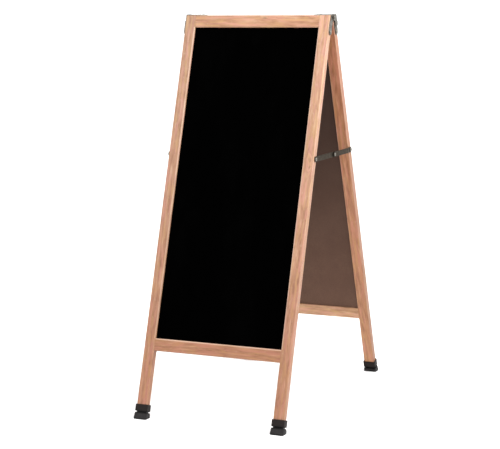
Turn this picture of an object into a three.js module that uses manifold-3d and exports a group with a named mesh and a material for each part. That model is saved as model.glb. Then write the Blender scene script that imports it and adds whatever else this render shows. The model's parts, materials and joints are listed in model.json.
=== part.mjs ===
// Folding A-frame sandwich board: two oak frames hinged at the top, each holding a laminated
// writing board, with hinge leaves and folding stays on the outer sides and rubber feet.
// Millimetres, +Z up. Origin: on the floor, midway between the four feet. +X is the right-hand
// side of someone who stands in front of the board and looks along +Y.
import * as THREE from 'three';
import { mergeVertices } from 'three/addons/utils/BufferGeometryUtils.js';
import Module from 'manifold-3d';

const wasm = await Module();
wasm.setup();

// ---- Driving dimensions -------------------------------------------------------------------
const BOARD_W = 457; // overall width of each frame
const STOCK_W = 32.5; // width of the oak stiles, across the frame
const STOCK_D = 20.5; // depth of the stiles and rails, through the frame
const LEAN = THREE.MathUtils.degToRad(18.2); // each frame's lean from upright, board open
const PIVOT_Z = 1131; // height of the hinge axis when open
const HALF_GAP = 0.75; // from the hinge axis to each frame's inner face
const STILE_L = 1172; // wooden length of a stile, measured down from the hinge axis
const RAIL_H = 36; // height of the top and bottom rails
const BOTTOM_RAIL_V = 963; // top edge of the bottom rail, down from the hinge axis
const FIT = 0.3; // gap between pieces that fit into each other

const ARRIS_R = 2.5; // rounding of the long edges of the wood
const MOULD = 4; // bevel round the front of the opening

const TENON_L = 20;
const TENON_H = 22;
const TENON_T = 8;
const TENON_INSET = 4; // from the rail's outer edge to the tenon

const BACKING_T = 5.5; // hardboard backing
const FACING_T = 3; // black writing sheet
const BACK_RECESS = 5.4; // inner face of the frame to the backing
const GROOVE_DEPTH = 8; // panel groove in stiles and rails
const PANEL_BITE = 7; // how far the panel enters the groove

const FOOT_TOP_V = 1155; // top of the rubber collar
const COLLAR_H = 20;
const WAIST_H = 3.5;
const COLLAR_WALL = 3.2;
const WAIST_WALL = -0.5; // the waist is solid rubber, slimmer than the stile
const BASE_WALL = 4.2;
const POCKET_TOP = 60; // the pocket's cutter starts this far above the stile's end

const LEAF_T = 2.5; // hinge leaf sheet
const LEAF_GAP = 0.3;
const EAR_R = 9; // round the pin
const ARM_W = 18;
const ARM_END_V = 56; // tip of a leaf's arm, down from the hinge axis
const EAR_END_V = 31; // tip of the rear leaf's outer plate
const SHOULDER_N = 17; // outer edge of a leaf beside the pin
const SHOULDER_V = 14; // where that edge steps out to the arm
const SHOULDER_R = 3; // round of the leaf's top corner
const STEP_V = 4; // height of the step out to the arm
const BOSS_V = 21; // where the rear leaf's two plates are joined
const BOSS_R = 7.5;
const FLANGE_L = 52; // how far the top flange reaches in from the stile's side
const FLANGE_W = 15.5;
const PIN_R = 3;
const PIN_CLEARANCE = 0.15;
const PIN_HEAD_R = 6.5;
const PIN_HEAD_H = 2.8;

const LINK_T = 2.5; // stay links
const LINK_H = 15;
const LINK_GAP = 0.5;
const STAY_V = 419; // stay screws, down from the hinge axis
const LINK_HOLE_R = 2.6;
const JOGGLE_START = 16; // where the rear link steps outwards, from its screw
const JOGGLE_END = 26;

const SCREW_R = 1.9;
const SCREW_L = 14; // in the wood
const SCREW_HEAD_R = 4.5;
const SCREW_HEAD_H = 2.2;
const SIDE_SCREW_V = 47;
const TOP_SCREW_INSET = 41; // from the stile's side, so into the top rail
const STAY_SCREW_R = 2.4;
const STAY_HEAD_R = 5;
const STAY_HEAD_H = 2.6;

const ROUND = 20; // facets of a full circle
const CORNER = 3; // facets of a rounded edge of a bar

// ---- Derived places, in a frame's own axes ---------------------------------------------------
// x runs across the frame, y out of its outer face, z up along the stiles; the hinge axis is y = z = 0.
const HALF_W = BOARD_W / 2;
const INNER_X = HALF_W - STOCK_W;
const STILE_X = HALF_W - STOCK_W / 2;
const OPENING_W = 2 * INNER_X;
const MID_N = HALF_GAP + STOCK_D / 2;
const OUTER_N = HALF_GAP + STOCK_D;
const PANEL_N = HALF_GAP + BACK_RECESS;
const FACING_N = PANEL_N + BACKING_T + FIT;
const GROOVE_N = [PANEL_N - FIT, FACING_N + FACING_T + FIT];
const OPENING_V = [RAIL_H, BOTTOM_RAIL_V];
const topScrewAt = (side, lift = 0) => [side * (HALF_W - TOP_SCREW_INSET), MID_N, lift];
const STAY_Y = STAY_V * Math.sin(LEAN) + MID_N * Math.cos(LEAN);
const STAY_Z = PIVOT_Z - STAY_V * Math.cos(LEAN) + MID_N * Math.sin(LEAN);

// ---- Materials -------------------------------------------------------------------------------
function finish(color, roughness, metalness) {
  return new THREE.MeshStandardMaterial({ color, roughness, metalness });
}
const oak = finish(0xd9a684, 0.55, 0);
const black = finish(0x050505, 0.85, 0);
const hardboard = finish(0x5b4035, 0.8, 0);
const rubber = finish(0x2c2b2b, 0.7, 0);
const steel = finish(0x8a857c, 0.42, 1);
const darkSteel = finish(0x5c5a50, 0.5, 1);
const brightSteel = finish(0xb5b0a8, 0.35, 1);

// ---- Geometry helpers ------------------------------------------------------------------------
const X = new THREE.Vector3(1, 0, 0);
const Y = new THREE.Vector3(0, 1, 0);
const Z = new THREE.Vector3(0, 0, 1);

function box(x, y, z) {
  const size = [x, y, z].map(([low, high]) => high - low);
  const centre = [x, y, z].map(([low, high]) => (low + high) / 2);
  return new THREE.BoxGeometry(...size).translate(...centre);
}

function roundedRect(width, height, r) {
  const [a, b] = [width / 2, height / 2];
  const shape = new THREE.Shape();
  shape.moveTo(a, -b + r);
  shape.absarc(a - r, b - r, r, 0, Math.PI / 2, false);
  shape.absarc(-a + r, b - r, r, Math.PI / 2, Math.PI, false);
  shape.absarc(-a + r, -b + r, r, Math.PI, 1.5 * Math.PI, false);
  shape.absarc(a - r, -b + r, r, 1.5 * Math.PI, 2 * Math.PI, false);
  return shape;
}

// A level bar with round ends, between two points of the drawing plane.
function slotShape([ax, bx], y, r) {
  const shape = new THREE.Shape();
  shape.absarc(Math.max(ax, bx), y, r, -Math.PI / 2, Math.PI / 2, false);
  shape.absarc(Math.min(ax, bx), y, r, Math.PI / 2, 1.5 * Math.PI, false);
  return shape;
}

function ordered(...values) {
  return [Math.min(...values), Math.max(...values)];
}

function withHole(shape, [x, y], r) {
  shape.holes.push(new THREE.Path().absarc(x, y, r, 0, 2 * Math.PI, true));
  return shape;
}

function extrude(shape, depth, options = {}) {
  const settings = { depth, bevelEnabled: false, curveSegments: CORNER, ...options };
  return new THREE.ExtrudeGeometry(shape, settings);
}

// A shape drawn in the y-z plane, given thickness along x between two values.
function plate(shape, [x0, x1], curveSegments = ROUND / 2) {
  const toSide = new THREE.Matrix4().makeBasis(Y, Z, X);
  return extrude(shape, x1 - x0, { curveSegments }).applyMatrix4(toSide).translate(x0, 0, 0);
}

// A distance range outwards from the frame's side becomes an x range on that side.
function outwards(side, [near, far]) {
  return ordered(side * (HALF_W + near), side * (HALF_W + far));
}

// A turned piece: profile points [radius, height], turned about the line from `at` along `axis`.
function turned(points, at, axis) {
  const profile = points.map(([r, h]) => new THREE.Vector2(r, h));
  const turn = new THREE.Quaternion().setFromUnitVectors(Y, axis);
  return new THREE.LatheGeometry(profile, ROUND).applyQuaternion(turn).translate(...at);
}

function rod(r, [low, high], at, axis) {
  return turned([[0, low], [r, low], [r, high], [0, high]], at, axis);
}

// A shank with a domed head on its outer end; the shank goes down from zero, the head up.
function headed([shankR, shankL], [headR, headH], at, axis) {
  const rim = headH * 0.35;
  const points = [[0, -shankL], [shankR, -shankL], [shankR, 0], [headR, 0], [headR, rim]];
  for (const turn of [0.35, 0.7]) {
    const angle = (turn * Math.PI) / 2;
    points.push([headR * Math.cos(angle), rim + (headH - rim) * Math.sin(angle)]);
  }
  points.push([0, headH]);
  return turned(points, at, axis);
}

function toSolid(geometry) {
  const bare = geometry.clone();
  bare.deleteAttribute('normal');
  bare.deleteAttribute('uv');
  const merged = mergeVertices(bare, 1e-4);
  return new wasm.Manifold(new wasm.Mesh({
    numProp: 3,
    vertProperties: new Float32Array(merged.attributes.position.array),
    triVerts: new Uint32Array(merged.index.array),
  }));
}

function toGeometry(solid) {
  const { vertProperties, triVerts } = solid.getMesh();
  const geometry = new THREE.BufferGeometry();
  geometry.setAttribute('position', new THREE.BufferAttribute(vertProperties, 3));
  geometry.setIndex(new THREE.BufferAttribute(triVerts, 1));
  geometry.computeVertexNormals();
  return geometry;
}

function cut(base, ...tools) {
  const solid = tools.reduce((left, tool) => left.subtract(toSolid(tool)), toSolid(base));
  return toGeometry(solid);
}

function join(base, ...more) {
  const solid = more.reduce((sum, piece) => sum.add(toSolid(piece)), toSolid(base));
  return toGeometry(solid);
}

function common(a, b) {
  return toGeometry(toSolid(a).intersect(toSolid(b)));
}

function add(parent, name, geometry, material) {
  const mesh = new THREE.Mesh(geometry, material);
  mesh.name = name;
  parent.add(mesh);
}

// ---- Wood ------------------------------------------------------------------------------------
// The moulded edge round the opening: a plug that widens by MOULD towards the outer face.
function mouldCutter() {
  const [top, bottom] = OPENING_V;
  const opening = new THREE.Shape();
  const [a, b] = [OPENING_W / 2, (bottom - top) / 2];
  opening.moveTo(-a, -b);
  for (const [x, y] of [[a, -b], [a, b], [-a, b]]) opening.lineTo(x, y);
  const bevel = { bevelEnabled: true, bevelThickness: MOULD, bevelSize: MOULD, bevelSegments: 1 };
  const plug = extrude(opening, MOULD, bevel);
  const faceOut = new THREE.Matrix4().makeBasis(X.clone().negate(), Z, Y);
  return plug.applyMatrix4(faceOut).translate(0, OUTER_N, -(top + bottom) / 2);
}

// The tenon of a rail end, or with a margin the mortise for it. `edge` is +1 on the top rail.
function tenon(side, edge, margin) {
  const outerV = edge > 0 ? 0 : BOTTOM_RAIL_V + RAIL_H;
  const nearV = outerV + edge * (TENON_INSET - margin);
  const farV = outerV + edge * (TENON_INSET + TENON_H + margin);
  const half = TENON_T / 2 + margin;
  return box(
    ordered(side * (INNER_X - 1), side * (INNER_X + TENON_L + margin)),
    [MID_N - half, MID_N + half],
    ordered(-nearV, -farV),
  );
}

function stile(side) {
  const section = roundedRect(STOCK_W, STOCK_D, ARRIS_R);
  const bar = extrude(section, STILE_L).translate(side * STILE_X, MID_N, -STILE_L);
  const grooveX = ordered(side * (INNER_X - 1), side * (INNER_X + GROOVE_DEPTH));
  const groove = box(grooveX, GROOVE_N, [-(BOTTOM_RAIL_V + GROOVE_DEPTH), -(RAIL_H - GROOVE_DEPTH)]);
  const outward = X.clone().multiplyScalar(side);
  const pilot = (r, v) => rod(r + FIT, [-SCREW_L - FIT, 1], [side * HALF_W, MID_N, -v], outward);
  const mortises = [tenon(side, 1, FIT), tenon(side, -1, FIT)];
  const pilots = [pilot(SCREW_R, SIDE_SCREW_V), pilot(STAY_SCREW_R, STAY_V)];
  return cut(bar, groove, mouldCutter(), ...mortises, ...pilots);
}

function rail(edge) {
  const [outerV, innerV] = edge > 0 ? [0, RAIL_H] : [BOTTOM_RAIL_V + RAIL_H, BOTTOM_RAIL_V];
  const length = OPENING_W - 2 * FIT;
  const bar = plate(roundedRect(STOCK_D, RAIL_H, ARRIS_R), [-length / 2, length / 2], CORNER);
  bar.translate(0, MID_N, -(outerV + innerV) / 2);
  const grooveZ = ordered(-(innerV - edge * GROOVE_DEPTH), -(innerV + edge));
  const groove = box([-HALF_W, HALF_W], GROOVE_N, grooveZ);
  const pilot = (side) => rod(SCREW_R + FIT, [-SCREW_L - FIT, 1], topScrewAt(side), Z);
  const pilots = edge > 0 ? [pilot(-1), pilot(1)] : [];
  const body = cut(bar, groove, mouldCutter(), ...pilots);
  return join(body, tenon(1, edge, 0), tenon(-1, edge, 0));
}

// ---- Writing board ---------------------------------------------------------------------------
function sheet([near, far]) {
  const half = OPENING_W / 2 + PANEL_BITE;
  const [top, bottom] = OPENING_V;
  return box([-half, half], [near, far], [-(bottom + PANEL_BITE), -(top - PANEL_BITE)]);
}

// ---- Rubber foot -------------------------------------------------------------------------------
// A cup on the stile's end; its sole is cut level with the floor when the board stands open.
function foot(side) {
  const tier = (wall, topV, height, bevel) => {
    const grow = 2 * (wall - bevel);
    const outline = roundedRect(STOCK_W + grow, STOCK_D + grow, ARRIS_R);
    const edges = { bevelEnabled: true, bevelThickness: bevel, bevelSize: bevel, bevelSegments: 1 };
    const solid = extrude(outline, height - 2 * bevel, edges);
    return solid.translate(side * STILE_X, MID_N, -(topV + height - bevel));
  };
  const waistV = FOOT_TOP_V + COLLAR_H;
  const overlap = 2;
  const collar = tier(COLLAR_WALL, FOOT_TOP_V, COLLAR_H, 1.6);
  const waist = tier(WAIST_WALL, waistV - overlap, WAIST_H + 2 * overlap, 0.3);
  const base = tier(BASE_WALL, waistV + WAIST_H, 30, 1.4);
  const bore = roundedRect(STOCK_W + 2 * FIT, STOCK_D + 2 * FIT, ARRIS_R);
  const pocket = extrude(bore, POCKET_TOP).translate(side * STILE_X, MID_N, -(STILE_L + FIT));
  const floor = box([-BOARD_W, BOARD_W], [-BOARD_W, BOARD_W], [-BOARD_W, 0])
    .translate(0, 0, -PIVOT_Z)
    .rotateX(-LEAN);
  return cut(join(collar, waist, base), pocket, floor);
}

// ---- Hinges ------------------------------------------------------------------------------------
const LAYER_A = [LEAF_GAP, LEAF_GAP + LEAF_T];
const LAYER_B = [LAYER_A[1] + LEAF_GAP, LAYER_A[1] + LEAF_GAP + LEAF_T];
const HINGE_SEAT = LAYER_A[1] + LEAF_GAP / 2; // under the hinge screws' heads

// A leaf seen from the side: round the pin, level across the top when the board stands open,
// then down the stile to a round tip.
function leafShape(endV) {
  const topAngle = Math.PI / 2 - LEAN;
  const throatAngle = (4 / 3) * Math.PI;
  const [near, far, r] = [MID_N - ARM_W / 2, MID_N + ARM_W / 2, ARM_W / 2];
  const cornerN = SHOULDER_N - SHOULDER_R;
  const cornerZ = (EAR_R - SHOULDER_R - cornerN * Math.sin(LEAN)) / Math.cos(LEAN);
  const throatRise = (near - EAR_R * Math.cos(throatAngle)) / Math.tan(throatAngle);
  const shape = new THREE.Shape();
  shape.absarc(0, 0, EAR_R, topAngle, throatAngle, false);
  shape.lineTo(near, EAR_R * Math.sin(throatAngle) - throatRise);
  shape.absarc(MID_N, -(endV - r), r, Math.PI, 2 * Math.PI, false);
  shape.lineTo(far, -(SHOULDER_V + STEP_V));
  shape.lineTo(SHOULDER_N, -SHOULDER_V);
  shape.absarc(cornerN, cornerZ, SHOULDER_R, 0, topAngle, false);
  return shape;
}

function flange(side) {
  const x = ordered(side * (HALF_W - FLANGE_L), side * (HALF_W + LAYER_A[1]));
  const near = MID_N - ARM_W / 2;
  return box(x, [near, near + FLANGE_W], [LEAF_GAP, LEAF_GAP + LEAF_T]);
}

function leafHoles(side) {
  const outward = X.clone().multiplyScalar(side);
  const hole = (r, at, axis) => rod(r, [-2 * EAR_R, 2 * EAR_R], at, axis);
  return [
    hole(SCREW_R + FIT, [side * HALF_W, MID_N, -SIDE_SCREW_V], outward),
    hole(SCREW_R + FIT, topScrewAt(side), Z),
    hole(PIN_R + PIN_CLEARANCE, [side * HALF_W, 0, 0], outward),
  ];
}

// The front leaf lies flat on the stile and turns about the pin in the inner layer.
function frontLeaf(side) {
  const sheet = plate(leafShape(ARM_END_V), outwards(side, LAYER_A));
  return cut(join(sheet, flange(side)), ...leafHoles(side));
}

// The rear leaf clears the front ear with a second plate outside it, joined on by a boss.
function rearLeaf(side) {
  const outward = X.clone().multiplyScalar(side);
  const clear = [-1, LAYER_A[1] + LEAF_GAP / 2];
  const round = rod(EAR_R + 2 * LEAF_GAP, clear, [side * HALF_W, 0, 0], outward);
  const beside = box(outwards(side, clear), [-2 * EAR_R, MID_N - ARM_W / 2], [-2 * EAR_R, 2 * EAR_R]);
  const sheet = plate(leafShape(ARM_END_V), outwards(side, LAYER_A));
  const arm = cut(join(sheet, flange(side)), round, beside);
  const ear = plate(leafShape(EAR_END_V), outwards(side, LAYER_B));
  const boss = rod(BOSS_R, [LAYER_A[0], LAYER_B[1]], [side * HALF_W, MID_N, -BOSS_V], outward);
  return cut(join(arm, ear, boss), ...leafHoles(side));
}

function hingePin(side) {
  const outward = X.clone().multiplyScalar(side);
  const shank = LAYER_B[1] - LAYER_A[0] + LEAF_GAP;
  const at = [side * (HALF_W + LAYER_B[1] + LEAF_GAP), 0, 0];
  return headed([PIN_R, shank], [PIN_HEAD_R, PIN_HEAD_H], at, outward);
}

// ---- Screws, in a frame's axes -------------------------------------------------------------------
function sideScrew(side) {
  const outward = X.clone().multiplyScalar(side);
  const at = [side * (HALF_W + HINGE_SEAT), MID_N, -SIDE_SCREW_V];
  return headed([SCREW_R, SCREW_L + HINGE_SEAT], [SCREW_HEAD_R, SCREW_HEAD_H], at, outward);
}

function topScrew(side) {
  const at = topScrewAt(side, HINGE_SEAT);
  return headed([SCREW_R, SCREW_L + HINGE_SEAT], [SCREW_HEAD_R, SCREW_HEAD_H], at, Z);
}

const LINK_A = [LINK_GAP, LINK_GAP + LINK_T];
const LINK_B = [LINK_A[1] + LEAF_GAP, LINK_A[1] + LEAF_GAP + LINK_T];

function stayScrew(side) {
  const outward = X.clone().multiplyScalar(side);
  const seat = LINK_A[1] + LEAF_GAP / 2;
  const at = [side * (HALF_W + seat), MID_N, -STAY_V];
  return headed([STAY_SCREW_R, SCREW_L + seat], [STAY_HEAD_R, STAY_HEAD_H], at, outward);
}

// ---- Stay links, in the object's axes: straight and level when the board stands open ------------
function linkOutline(screwY) {
  const shape = slotShape([0, screwY], STAY_Z, LINK_H / 2);
  return withHole(withHole(shape, [screwY, STAY_Z], LINK_HOLE_R), [0, STAY_Z], LINK_HOLE_R);
}

const frontLink = (side) => plate(linkOutline(-STAY_Y), outwards(side, LINK_A));

// Seen from above, the rear link steps from the stile's side out over the front link.
function rearLink(side) {
  const stepOut = (out) => [
    [out[0], STAY_Y + LINK_H],
    [out[0], STAY_Y - JOGGLE_START],
    [out[1], STAY_Y - JOGGLE_END],
    [out[1], -LINK_H],
  ];
  const inner = stepOut([LINK_A[0], LINK_B[0]]);
  const outer = stepOut([LINK_A[1], LINK_B[1]]).reverse();
  const corner = ([out, y]) => new THREE.Vector2(side * (HALF_W + out), y);
  const plan = new THREE.Shape([...inner, ...outer].map(corner));
  const strip = extrude(plan, 2 * LINK_H).translate(0, 0, STAY_Z - LINK_H);
  return common(strip, plate(linkOutline(STAY_Y), outwards(side, [0, 2 * LINK_B[1]])));
}

// The middle rivet turns with the rear link; its shank stops at the front link's outer face.
function stayRivet(side) {
  const outward = X.clone().multiplyScalar(side);
  const seat = LINK_B[1] + LEAF_GAP / 2;
  const at = [side * (HALF_W + seat), 0, STAY_Z];
  return headed([STAY_SCREW_R, LINK_T + LEAF_GAP], [STAY_HEAD_R, STAY_HEAD_H], at, outward);
}

// ---- Assembly ------------------------------------------------------------------------------------
const board = new THREE.Group();

for (const face of ['front', 'rear']) {
  // The front frame is the rear frame turned half a turn about the upright axis.
  const turn = new THREE.Group();
  turn.rotation.z = face === 'front' ? Math.PI : 0;
  board.add(turn);
  const frame = new THREE.Group();
  frame.position.z = PIVOT_Z;
  frame.rotation.x = LEAN;
  turn.add(frame);

  const leaf = face === 'front' ? frontLeaf : rearLeaf;
  for (const side of [-1, 1]) {
    const hand = (face === 'front' ? -side : side) > 0 ? 'right' : 'left';
    add(frame, `${face}_${hand}_stile`, stile(side), oak);
    add(frame, `${face}_${hand}_foot`, foot(side), rubber);
    add(frame, `${face}_${hand}_hinge_leaf`, leaf(side), steel);
    add(frame, `${face}_${hand}_hinge_side_screw`, sideScrew(side), brightSteel);
    add(frame, `${face}_${hand}_hinge_top_screw`, topScrew(side), brightSteel);
    add(frame, `${face}_${hand}_stay_screw`, stayScrew(side), brightSteel);
    if (face === 'front') add(frame, `${hand}_hinge_pin`, hingePin(side), steel);
  }
  add(frame, `${face}_top_rail`, rail(1), oak);
  add(frame, `${face}_bottom_rail`, rail(-1), oak);
  add(frame, `${face}_backing_board`, sheet([PANEL_N, PANEL_N + BACKING_T]), hardboard);
  add(frame, `${face}_writing_sheet`, sheet([FACING_N, FACING_N + FACING_T]), black);
}

for (const [hand, side] of [['left', -1], ['right', 1]]) {
  add(board, `${hand}_stay_front_link`, frontLink(side), darkSteel);
  add(board, `${hand}_stay_rear_link`, rearLink(side), darkSteel);
  add(board, `${hand}_stay_rivet`, stayRivet(side), brightSteel);
}

export default board;
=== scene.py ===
"""The looks of a folding oak A-frame sandwich board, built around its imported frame. Metres, +Z up."""
import json
import math

import bmesh
import bpy
from mathutils import Matrix, Vector, noise


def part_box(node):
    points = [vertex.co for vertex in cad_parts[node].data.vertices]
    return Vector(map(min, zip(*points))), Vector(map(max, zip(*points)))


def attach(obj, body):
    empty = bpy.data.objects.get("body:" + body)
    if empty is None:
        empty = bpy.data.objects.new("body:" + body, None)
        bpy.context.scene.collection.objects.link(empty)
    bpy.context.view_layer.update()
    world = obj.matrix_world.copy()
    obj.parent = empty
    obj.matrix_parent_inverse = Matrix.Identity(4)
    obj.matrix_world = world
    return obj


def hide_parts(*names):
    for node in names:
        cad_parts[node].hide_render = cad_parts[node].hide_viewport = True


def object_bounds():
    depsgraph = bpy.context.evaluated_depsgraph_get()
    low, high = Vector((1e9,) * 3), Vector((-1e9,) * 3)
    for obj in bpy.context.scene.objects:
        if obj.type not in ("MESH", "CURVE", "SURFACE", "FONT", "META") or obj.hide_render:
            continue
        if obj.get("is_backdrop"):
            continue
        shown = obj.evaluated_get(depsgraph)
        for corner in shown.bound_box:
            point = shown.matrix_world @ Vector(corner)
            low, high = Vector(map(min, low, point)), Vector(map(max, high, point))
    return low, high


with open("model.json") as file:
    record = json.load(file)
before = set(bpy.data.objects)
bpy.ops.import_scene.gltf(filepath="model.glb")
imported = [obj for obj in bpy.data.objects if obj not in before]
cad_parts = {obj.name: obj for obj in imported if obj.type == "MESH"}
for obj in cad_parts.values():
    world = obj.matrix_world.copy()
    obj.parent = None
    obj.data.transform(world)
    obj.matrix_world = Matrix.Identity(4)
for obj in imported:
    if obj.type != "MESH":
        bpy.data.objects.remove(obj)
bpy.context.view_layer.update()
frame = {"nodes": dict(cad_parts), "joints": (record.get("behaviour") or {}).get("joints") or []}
MM = 0.001

# ---- Camera --------------------------------------------------------------------------------------
CAMERA_YAW = math.radians(24.051)  # from straight in front, towards the board's right
CAMERA_RISE = math.radians(8.739)
CAMERA_ROLL = math.radians(-0.56)
CAMERA_DISTANCE = 4.5476
CAMERA_LENS = 109.76
CAMERA_AIM = Vector((0, 0, 0.56))
CAMERA_SLIDE = (-0.03387, -0.04197)  # the camera's own offset to its right and up

# ---- Sizes that the frame doesn't give -----------------------------------------------------------
LEAN = math.radians(18.2)  # each frame's lean from upright, board open
FIT = 0.3 * MM  # gap between pieces that fit into each other
SEAM = 0.05 * MM  # gap of a glued joint
ARRIS = 2.5 * MM  # rounding of the long edges of the wood
SHARP = 0.45 * MM  # and where a rail meets a stile
END_EASE = 0.35 * MM  # rounding of a rail's ends
TOP_EASE = 0.8 * MM  # rounding of a stile's ends
MOULD = 4 * MM  # quarter round along the front of the opening
YEAR = 4.2 * MM  # a year's growth of the oak
BLEND = 1 * MM  # width over which a tint of the wood fades out
STATION_GAP = 15 * MM  # between the cross sections of a bar
MERGE = 0.003 * MM  # corners of a mesh closer than this are one corner
TENON_H = 22 * MM  # height and thickness of the tenons
TENON_T = 8 * MM
TENON_INSET = 4 * MM  # from a rail's outer edge to its tenon
EAR_R = 9 * MM  # hinge leaf round its pin
ARM_W = 18 * MM
EAR_END = 31 * MM  # tip of the rear leaf's outer plate, down from the pin
SHOULDER_N = 17 * MM  # outer edge of a leaf beside the pin
SHOULDER_Z = 14 * MM  # where that edge steps out to the arm
SHOULDER_R = 3 * MM
STEP_H = 4 * MM
BOSS_Z = 21 * MM  # where the rear leaf's two plates are joined
BOSS_R = 7.3 * MM
FLANGE_W = 15.5 * MM
LEAF_T = 2.5 * MM  # thickness of a hinge leaf, and its gap to the wood and to the next leaf
LEAF_GAP = 0.3 * MM
LINK_T = 2.5 * MM  # thickness of a stay link, and the front one's gap to the wood
LINK_GAP = 0.5 * MM
LINK_EASE = 0.35 * MM  # rounding of the steel's edges
LEAF_EASE = 0.3 * MM
JOGGLE = (12 * MM, 30 * MM)  # where the rear link steps outwards, from its screw
PIN_HOLE = 3.15 * MM  # radii of the clearance holes
SCREW_HOLE = 2.15 * MM
LINK_HOLE = 2.75 * MM
COLLAR_H = 20 * MM  # the foot's upper tier
WAIST_H = 3.5 * MM  # and the groove below it
COLLAR_WALL = 3.2 * MM  # the walls are measured out from the stile
WAIST_WALL = -1.3 * MM
BASE_WALL = 4.2 * MM
FLARE = 1.2 * MM  # how much the base widens towards the floor

fold = next(j for j in frame["joints"] if j["name"] == "fold")
REAR = Matrix.Translation(fold["pos_m"]) @ Matrix.Rotation(LEAN, 4, "X")
FRONT = Matrix.Rotation(math.pi, 4, "Z") @ REAR
IDENTITY = Matrix.Identity(4)


def local_box(node, axes):
    """Lowest and highest corner of a CAD node in a frame's axes: x across, y outwards, z up the stiles."""
    to_local = axes.inverted()
    points = [to_local @ v.co for v in frame["nodes"][node].data.vertices]
    low = Vector([min(p[i] for p in points) for i in range(3)])
    high = Vector([max(p[i] for p in points) for i in range(3)])
    return low, high


# ---- Mesh helpers --------------------------------------------------------------------------------
def make_object(name, bm, axes=IDENTITY):
    bmesh.ops.recalc_face_normals(bm, faces=bm.faces)
    mesh = bpy.data.meshes.new(name)
    bm.to_mesh(mesh)
    bm.free()
    mesh.transform(axes)
    piece = bpy.data.objects.new(name, mesh)
    bpy.context.scene.collection.objects.link(piece)
    return piece


def loft(loops):
    """A closed skin over loops with the same number of points, capped at both ends."""
    bm = bmesh.new()
    rings = [[bm.verts.new(p) for p in loop] for loop in loops]
    for near, far in zip(rings, rings[1:]):
        for i, corner in enumerate(near):
            j = (i + 1) % len(near)
            bm.faces.new((corner, near[j], far[j], far[i]))
    bm.faces.new(rings[0])
    bm.faces.new(rings[-1])
    return bm


def arc(centre, radius, start, end, steps):
    """Points of an arc, angles in degrees."""
    angles = [math.radians(start + (end - start) * i / steps) for i in range(steps + 1)]
    return [(centre[0] + radius * math.cos(a), centre[1] + radius * math.sin(a)) for a in angles]


def rounded_rect(low, high, radii, steps):
    """Outline of a rectangle with round corners; radii go round from corner high."""
    points = []
    corners = ((high[0], high[1], 0), (low[0], high[1], 90), (low[0], low[1], 180), (high[0], low[1], 270))
    for (x, y, start), radius in zip(corners, radii):
        inward = (radius if start in (90, 180) else -radius, radius if start >= 180 else -radius)
        points += arc((x + inward[0], y + inward[1]), radius, start, start + 90, steps)
    return points


def box_mesh(low, high):
    outline = [(low[0], low[1]), (high[0], low[1]), (high[0], high[1]), (low[0], high[1])]
    return loft([[Vector((x, y, z)) for x, y in outline] for z in (low[2], high[2])])


def plate_mesh(outline, low, high):
    """An outline in the y-z plane, given thickness along x."""
    return loft([[Vector((x, y, z)) for y, z in outline] for x in (low, high)])


def turned_mesh(profile, steps=40):
    """A piece turned about z, from profile points (radius, height)."""
    turns = [2 * math.pi * i / steps for i in range(steps)]
    return loft([[Vector((r * math.cos(a), r * math.sin(a), h)) for a in turns] for r, h in profile])


def apply_modifiers(piece):
    bpy.context.view_layer.update()
    graph = bpy.context.evaluated_depsgraph_get()
    result = bpy.data.meshes.new_from_object(piece.evaluated_get(graph))
    plain = piece.data
    piece.modifiers.clear()
    piece.data = result
    bpy.data.meshes.remove(plain)


def combine(piece, tool, operation):
    """Cuts tool from piece ("DIFFERENCE") or joins it on ("UNION"), and removes the tool."""
    modifier = piece.modifiers.new("boolean", "BOOLEAN")
    modifier.operation = operation
    modifier.solver = "EXACT"
    modifier.object = tool
    apply_modifiers(piece)
    bpy.data.objects.remove(tool)


def drill(piece, node, axes, along, radius):
    """A clearance hole through a piece, centred on the CAD screw or pin that passes through it."""
    low, high = local_box(node, axes)
    half = (high[along] - low[along]) / 2 + 0.2 * MM
    axis = Vector([float(i == along) for i in range(3)])
    aim = axis.to_track_quat("Z", "Y").to_matrix().to_4x4()
    bore = turned_mesh([(radius, -half), (radius, half)], 28)
    tool = make_object("bore", bore, axes @ Matrix.Translation((low + high) / 2) @ aim)
    combine(piece, tool, "DIFFERENCE")


def ease_edges(bm, width):
    """Rounds the edges that turn by more than 50 degrees."""
    sharp = [edge for edge in bm.edges if edge.calc_face_angle(0) > math.radians(50)]
    bmesh.ops.bevel(bm, geom=sharp, offset=width, segments=3, affect="EDGES", clamp_overlap=True)
    return bm


def clean_mesh(mesh):
    """Merges corners a few microns apart and removes the slivers between them."""
    bm = bmesh.new()
    bm.from_mesh(mesh)
    bmesh.ops.remove_doubles(bm, verts=bm.verts[:], dist=MERGE)
    bmesh.ops.dissolve_degenerate(bm, edges=bm.edges[:], dist=MERGE)
    loose = [vert for vert in bm.verts if not vert.link_faces]
    bmesh.ops.delete(bm, geom=loose, context="VERTS")
    bm.to_mesh(mesh)
    bm.free()


def finish_piece(piece, body, material, slot, *nodes, smooth_angle=35):
    """Smooth shading, the material, and the piece's place among the CAD bodies."""
    clean_mesh(piece.data)
    piece.data.materials.clear()
    piece.data.materials.append(material)
    for face in piece.data.polygons:
        face.use_smooth = True
    piece.data.set_sharp_from_angle(angle=math.radians(smooth_angle))
    weighted = piece.modifiers.new("normals", "WEIGHTED_NORMAL")
    weighted.keep_sharp = True
    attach(piece, body)
    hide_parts(*nodes)


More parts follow.
